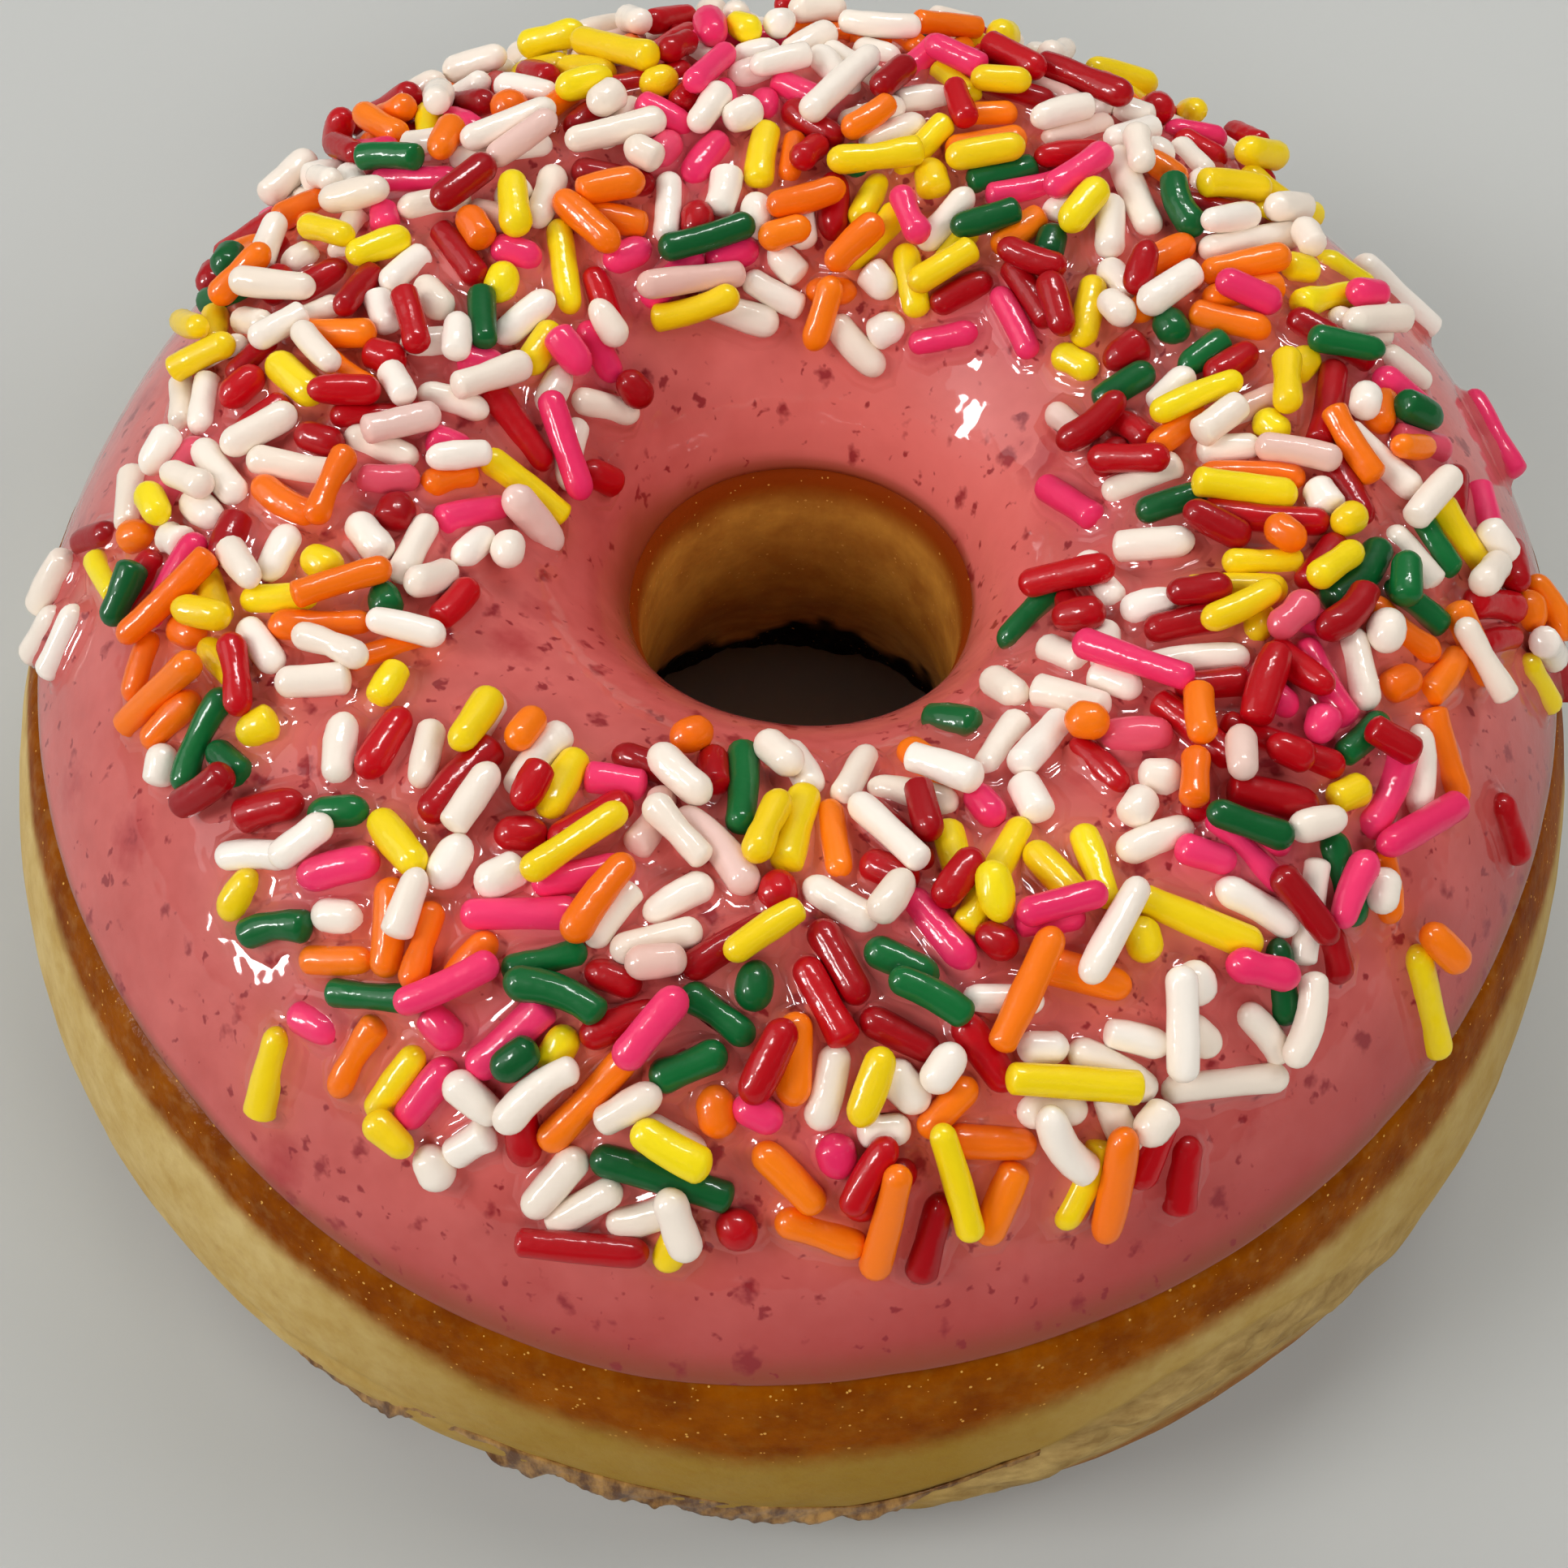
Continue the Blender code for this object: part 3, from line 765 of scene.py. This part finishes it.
def strandSurface(strand, tree):
    m = strandMesh
    half = 0.5 * strand["length"]
    radius = strand["radius"]
    caps = [min(c * radius, 0.9 * half) for c in strand["caps"]]
    stations = []
    for k in range(1, m["capRings"] + 1):  # the first end
        angle = 0.5 * math.pi * k / m["capRings"]
        stations.append((-half + caps[0] * (1 - math.cos(angle)), math.sin(angle)))
    body = max(1, int(round((2 * half - caps[0] - caps[1]) / m["bodyStep"])))
    for k in range(1, body):
        stations.append((-half + caps[0] + (2 * half - caps[0] - caps[1]) * k / body, 1.0))
    for k in range(m["capRings"], 0, -1):
        angle = 0.5 * math.pi * k / m["capRings"]
        stations.append((half - caps[1] * (1 - math.cos(angle)), math.sin(angle)))
    here = np.array(strand["here"])
    axes = strand["axes"]
    sides = np.linspace(0, math.tau, m["sides"], endpoint=False)
    lumps = strand["lumps"]
    toneFilmAndBounce = []

    def centreAt(x):
        y = strand["bend"] * strand["length"] * ((x / half) ** 2 - 0.33)
        return np.array([x, y, strand["middle"] + strand["slope"] * x])

    def toneFilmAndBounceAt(lift):
        # frosting pink near the waterline: partly icing film, partly painted bounce light
        filmAndBounce = 0.8 * float(1.0 - ease(0.1 * mm, 0.5 * mm, lift))
        return [strand["tone"], max(filmAndBounce, strand["film"]), 0.0, 1.0]

    first, last = here + centreAt(-half) @ axes, here + centreAt(half) @ axes
    rings = []
    for x, swell in stations:
        centre = centreAt(x)
        tangent = np.array([1.0, 4 * strand["bend"] * x / half, strand["slope"]])
        tangent /= np.linalg.norm(tangent)
        side = np.cross([0, 0, 1], tangent)
        side /= np.linalg.norm(side)
        top = np.cross(tangent, side)
        share = x / half
        size = radius * swell * (1 - strand["waist"] * math.exp(-(share / 0.35) ** 2))
        size *= (1 + strand["taper"] * share) * (1 + strand["bulge"] * (0.5 - share * share))
        wobble = math.sin(3.3 * share + lumps[0]) + 0.5 * math.sin(7.1 * share + lumps[1])
        size *= 1 + strand["lumpSize"] * wobble
        shape = size * (1 + 0.6 * strand["lumpSize"] * np.cos(2 * sides + lumps[2] + share)
                        + 0.4 * strand["lumpSize"] * np.cos(3 * sides + lumps[3] - 2 * share))
        local = centre + np.outer(shape * np.cos(sides), side) + np.outer(shape * np.sin(sides), top)
        rings.append(here + local @ axes)
        spot, normal, _, _ = tree.find_nearest(Vector(here + centre @ axes))
        level = float((Vector(here + centre @ axes) - spot).dot(normal))
        toneFilmAndBounce.extend(toneFilmAndBounceAt(level + h) for h in shape * np.sin(sides))
    points = np.concatenate([np.concatenate(rings), [first, last]])
    toneFilmAndBounce.extend([toneFilmAndBounceAt(strand["radius"])] * 2)
    count = m["sides"]
    faces = []
    for k in range(len(rings) - 1):
        for s in range(count):
            t = (s + 1) % count
            faces.append((k * count + s, k * count + t, (k + 1) * count + t, (k + 1) * count + s))
    start, end = len(points) - 2, len(points) - 1
    top = (len(rings) - 1) * count
    for s in range(count):
        t = (s + 1) % count
        faces.append((t, s, start))
        faces.append((top + s, top + t, end))
    return points, faces, toneFilmAndBounce


def makeStrands(laid, tree):
    for name, _, colour, shade in strandKinds:
        material = sugarStrand("glazed_" + name + "_sugar", colour, shade)
        points, faces, toneFilmAndBounce = [], [], []
        base = 0
        for strand in laid:
            if strand["colour"] != name:
                continue
            newPoints, newFaces, newToneFilmAndBounce = strandSurface(strand, tree)
            points.append(newPoints)
            faces.extend([tuple(base + v for v in face) for face in newFaces])
            toneFilmAndBounce.extend(newToneFilmAndBounce)
            base += len(newPoints)
        piece = addPiece("sprinkles_" + name, np.concatenate(points), faces, material)
        storeColour(piece, "toneFilmAndBounce", toneFilmAndBounce)
        print("sprinkles", name, sum(s["colour"] == name for s in laid), "faces", len(faces))


dyes = {  # the stain that each colour leaves, and how strong it is
    "yellow": ("#dc8a4c", 0.5), "orange": ("#dd7238", 0.55), "red": ("#b02a34", 0.4),
    "green": ("#8d5c52", 0.4), "pink": ("#e2587c", 0.4),
}
bleed = {"reach": 2.4 * mm, "fade": 0.55 * mm, "fadeUp": 0.7 * mm, "cover": 0.9}


def pointFinder(points):
    finder = KDTree(len(points))
    for i, point in enumerate(points):
        finder.insert(point, i)
    finder.balance()
    return finder


def dyeStains(points, laid):
    stain = np.zeros((len(points), 3))
    weight = np.zeros(len(points))
    finder = pointFinder(points)
    for strand in laid:
        if strand["colour"] not in dyes:
            continue
        code, strength = dyes[strand["colour"]]
        colour = np.array(hexToLinear(code)[:3])
        here = np.array(strand["here"])
        half = 0.5 * strand["length"]
        found = finder.find_range(Vector(here), half + bleed["reach"])
        if not found:
            continue
        index = np.array([f[1] for f in found])
        local = (points[index] - here) @ strand["axes"].T
        ends = half - strand["radius"]
        x = local[:, 0] - np.clip(local[:, 0], -ends, ends)
        away = np.sqrt(x ** 2 + local[:, 1] ** 2)
        share = strength * np.exp(-np.clip(away - strand["radius"], 0, None) / bleed["fade"])
        share *= math.exp(-max(strand["middle"] - strand["radius"], 0) / bleed["fadeUp"])
        np.add.at(stain, index, share[:, None] * colour)
        np.add.at(weight, index, share)
    values = np.zeros((len(points), 4))
    values[:, :3] = stain / np.maximum(weight, 1e-6)[:, None]
    values[:, 3] = 1 - np.exp(-weight * bleed["cover"])
    return values


def tint(stains, code, share):
    # lays one more colour over the stains
    under = stains[:, 3] * (1.0 - share)
    values = stains.copy()
    values[:, 3] = under + share
    colour = np.array(hexToLinear(code)[:3])
    mixed = stains[:, :3] * under[:, None] + colour * share[:, None]
    values[:, :3] = mixed / np.maximum(values[:, 3:], 1e-6)
    return values


def frostingPaintedShading(stains):
    # painted shade deepening towards the outer lip, painted light on the right and back slopes into the hole,
    # painted shade on the left one, and crust showing through thin icing at both lips, widened there as
    # painted shade
    f = frosting
    turn = np.linspace(0.0, math.tau, f["around"], endpoint=False)
    degrees = np.degrees(turn)
    length = innerLipMark - outerLipMark(turn, -mm * cyclic(ring["lipLift"], degrees, 1))
    across = np.linspace(0.0, 1.0, f["across"])[:, None] * length

    def wholeCoat(share, hidden):
        # the rows under the coat take one share all over
        return np.concatenate([share.ravel(), np.full(len(stains) - share.size, hidden)])

    outerSide = 1.0 - ease(0.0, f["outerShadeReach"], across)
    holeSide = 1.0 - ease(*f["slope"], length - across)
    thinAndShaded = np.maximum(1.0 - ease(0.0, mm * cyclic(f["thinShadedOuter"], degrees, 1), across),
                      1.0 - ease(0.0, mm * cyclic(f["thinShadedInner"], degrees, 1), length - across))
    stains = tint(stains, f["paintedShadeColour"], wholeCoat(outerSide * cyclic(f["outerShadeStrength"], degrees, 1), 0.5))
    for code, strength in ((f["paintedLightColour"], f["paintedLightStrength"]), (f["paintedShadeColour"], f["holeShadeStrength"])):
        stains = tint(stains, code, wholeCoat(holeSide * cyclic(strength, degrees, 1), 0.0))
    return tint(stains, f["thinShadedColour"], f["thinShadedStrength"] * wholeCoat(thinAndShaded, 1.0))


rim = {"height": 0.42 * mm, "width": 0.95 * mm, "steps": (-0.12, 0.0, 0.15, 0.33, 0.5, 0.62, 0.74, 0.86, 1.0),
       "bead": 0.06 * mm, "beadAt": 0.68, "beadWide": 0.15, "capSteps": 4}


def rimLoops(strand, tree):
    here, axes = np.array(strand["here"]), strand["axes"]
    x, y = strand["x"], strand["y"]
    level = []
    for k in range(len(x)):
        centre = Vector(here + np.array([x[k], y[k], strand["middle"] + strand["slope"] * x[k]]) @ axes)
        spot, normal, _, _ = tree.find_nearest(centre)
        level.append(float((centre - spot).dot(normal)))
    level = np.array(level)
    wet = np.flatnonzero(level < strand["radius"] + 0.03 * mm)
    if len(wet) < 2:
        return None
    first, last = wet[0], wet[-1]
    x, y, level = x[first:last + 1], y[first:last + 1], level[first:last + 1]
    rise = rim["height"] * (0.75 + 0.5 * rng.random())
    half = np.sqrt(np.maximum(strand["radius"] ** 2 - (rise - level) ** 2, (0.5 * strand["radius"]) ** 2))
    slope = np.gradient(y, x) if len(x) > 2 else np.zeros(len(x))
    heading = np.arctan(slope)
    outline = []
    for k in range(len(x)):
        outline.append((x[k], y[k], heading[k] - math.pi / 2, half[k]))
    for step in range(1, rim["capSteps"]):
        outline.append((x[-1], y[-1], heading[-1] - math.pi / 2 + math.pi * step / rim["capSteps"], half[-1]))
    for k in range(len(x) - 1, -1, -1):
        outline.append((x[k], y[k], heading[k] + math.pi / 2, half[k]))
    for step in range(1, rim["capSteps"]):
        outline.append((x[0], y[0], heading[0] + math.pi / 2 + math.pi * step / rim["capSteps"], half[0]))
    seed = rng.uniform(0, 100)
    loops = []
    for step in rim["steps"]:
        loop = []
        for px, py, aim, wide in outline:
            uneven = 1 + 0.45 * noise.noise(Vector((px / (1.3 * mm), aim, seed)))
            away = wide + step * rim["width"] * uneven
            local = np.array([px + math.cos(aim) * away, py + math.sin(aim) * away, 0.0])
            spot, normal, _, _ = tree.find_nearest(Vector(here + local @ axes))
            lift = rise * uneven * (1 - max(step, 0)) ** 2.2 - (0.006 * mm if step == 1.0 else 0.0)
            crest = math.exp(-((step - rim["beadAt"]) / rim["beadWide"]) ** 2)
            lift += rim["bead"] * max(0.0, uneven) * crest
            if step < 0:
                lift = rise * uneven * 1.02
            loop.append(np.array(spot) + np.array(normal) * lift)
        loops.append(loop)
    return np.array(loops)


def makeRims(laid, tree, material):
    points, faces = [], []
    base = 0
    for strand in laid:
        loops = rimLoops(strand, tree)
        if loops is None:
            continue
        rows, columns = loops.shape[:2]
        for row in range(rows - 1):
            for k in range(columns):
                n = (k + 1) % columns
                faces.append((base + row * columns + k, base + (row + 1) * columns + k,
                              base + (row + 1) * columns + n, base + row * columns + n))
        points.append(loops.reshape(-1, 3))
        base += rows * columns
    piece = addPiece("frosting_rims", np.concatenate(points), faces, material)
    print("rims faces", len(faces))
    return piece


frostingLook = strawberryFrosting()
coat = makeFrosting(frostingLook)
print("frosting made")
doughLook = friedDough()
makeDough(doughLook)
makeShreds(wetCrumb())
print("dough made")
coatFaces = [list(face.vertices) for face in coat.data.polygons]
coatTree = BVHTree.FromPolygons([vertex.co for vertex in coat.data.vertices], coatFaces)
laid = scatterStrands(coatTree)
makeStrands(laid, coatTree)
rims = makeRims(laid, coatTree, frostingLook)
coatPoints = np.array([v.co for v in coat.data.vertices])
# the coat's colour layer: dye stains plus painted shade and painted light, copied onto the rims as well
coatStainsAndShading = frostingPaintedShading(dyeStains(coatPoints, laid))
storeColour(coat, "dyeAndShading", coatStainsAndShading)
finder = pointFinder(coatPoints)
storeColour(rims, "dyeAndShading", [coatStainsAndShading[finder.find(vertex.co)[1]] for vertex in rims.data.vertices])
print("dye stains painted")


studio = {
    "card": "#c2c3bf", "air": "#f4f4f6", "airStrength": 0.12, "distance": 1.2,
    "softboxes": (  # name, bearing, tilt, size, power
        ("back_softbox", 100, 50, (0.6, 0.5), 2.7), ("back_right_softbox", 62, 46, (0.4, 0.4), 2.6),
        ("left_back_softbox", 140, 58, (0.5, 0.4), 2.3), ("left_high_softbox", 203, 46, (0.5, 0.4), 3.4),
        ("left_softbox", 200, 58, (0.5, 0.5), 3.2), ("right_softbox", 5, 50, (0.5, 0.5), 2.6),
        ("right_front_softbox", 318, 52, (0.5, 0.4), 2.0), ("front_softbox", 268, 54, (0.5, 0.35), 3.6)),
    "glints": (
        ("back_strip", 90, 22, (0.36, 0.07), 4.2), ("back_lamp", 62, 26, (0.3, 0.1), 5.0),
        ("left_lamp", 203, 41, (0.26, 0.14), 5.8), ("left_window", 197, 69, (0.14, 0.42), 11.0),
        ("left_wall", 182, 54, (0.8, 0.8), 3.2)),
}


def makeStage():
    bpy.ops.mesh.primitive_plane_add(size=3.0, location=(0, 0, 0))
    floor = bpy.context.object
    floor.name = "floor"
    material, tree, shader = newMaterial("matt_grey_card")
    fill(tree, shader,
         {"Base Color": hexToLinear(studio["card"]), "Roughness": 0.9, "Specular IOR Level": 0.0})
    floor.data.materials.append(material)


def addLamp(name, bearing, tilt, size, power, glint):
    # bearing and tilt from straight up, in degrees
    # a glint lamp gives only highlights, the others only soft light
    lamp = bpy.data.lights.new(name, "AREA")
    lamp.shape = "RECTANGLE"
    lamp.size, lamp.size_y = size
    lamp.energy = power
    thing = bpy.data.objects.new(name, lamp)
    bpy.context.scene.collection.objects.link(thing)
    turn = Matrix.Rotation(math.radians(bearing + 90), 4, "Z") @ Matrix.Rotation(math.radians(tilt), 4, "X")
    thing.matrix_world = turn @ Matrix.Translation((0.0, 0.0, studio["distance"]))
    thing.visible_glossy = glint
    thing.visible_diffuse = not glint


def makeLight():
    world = bpy.data.worlds.new("studio")
    bpy.context.scene.world = world
    world.use_nodes = True
    background = world.node_tree.nodes["Background"]
    background.inputs["Color"].default_value = hexToLinear(studio["air"])
    background.inputs["Strength"].default_value = studio["airStrength"]
    for group in ("softboxes", "glints"):
        for lamp in studio[group]:
            addLamp(*lamp, group == "glints")


def makeCamera():
    view = {"elevation": 56.6, "distance": 180.0 * mm, "roll": 2.6, "lens": 73.2,
            "target": Vector((-0.5 * mm, -7.9 * mm, 17.5 * mm))}
    data = bpy.data.cameras.new("camera")
    data.sensor_width = 36.0
    data.lens = view["lens"]
    data.clip_start = 0.01
    camera = bpy.data.objects.new("camera", data)
    bpy.context.scene.collection.objects.link(camera)
    tip = math.radians(view["elevation"])
    back = Vector((0.0, -math.cos(tip), math.sin(tip)))
    turn = (-back).to_track_quat("-Z", "Y").to_matrix() @ Matrix.Rotation(math.radians(view["roll"]), 3, "Z")
    camera.matrix_world = Matrix.Translation(view["target"] + back * view["distance"]) @ turn.to_4x4()
    bpy.context.scene.camera = camera


makeStage()
makeLight()
makeCamera()
bpy.context.scene.view_settings.view_transform = "Standard"
print("stage, light and camera made")
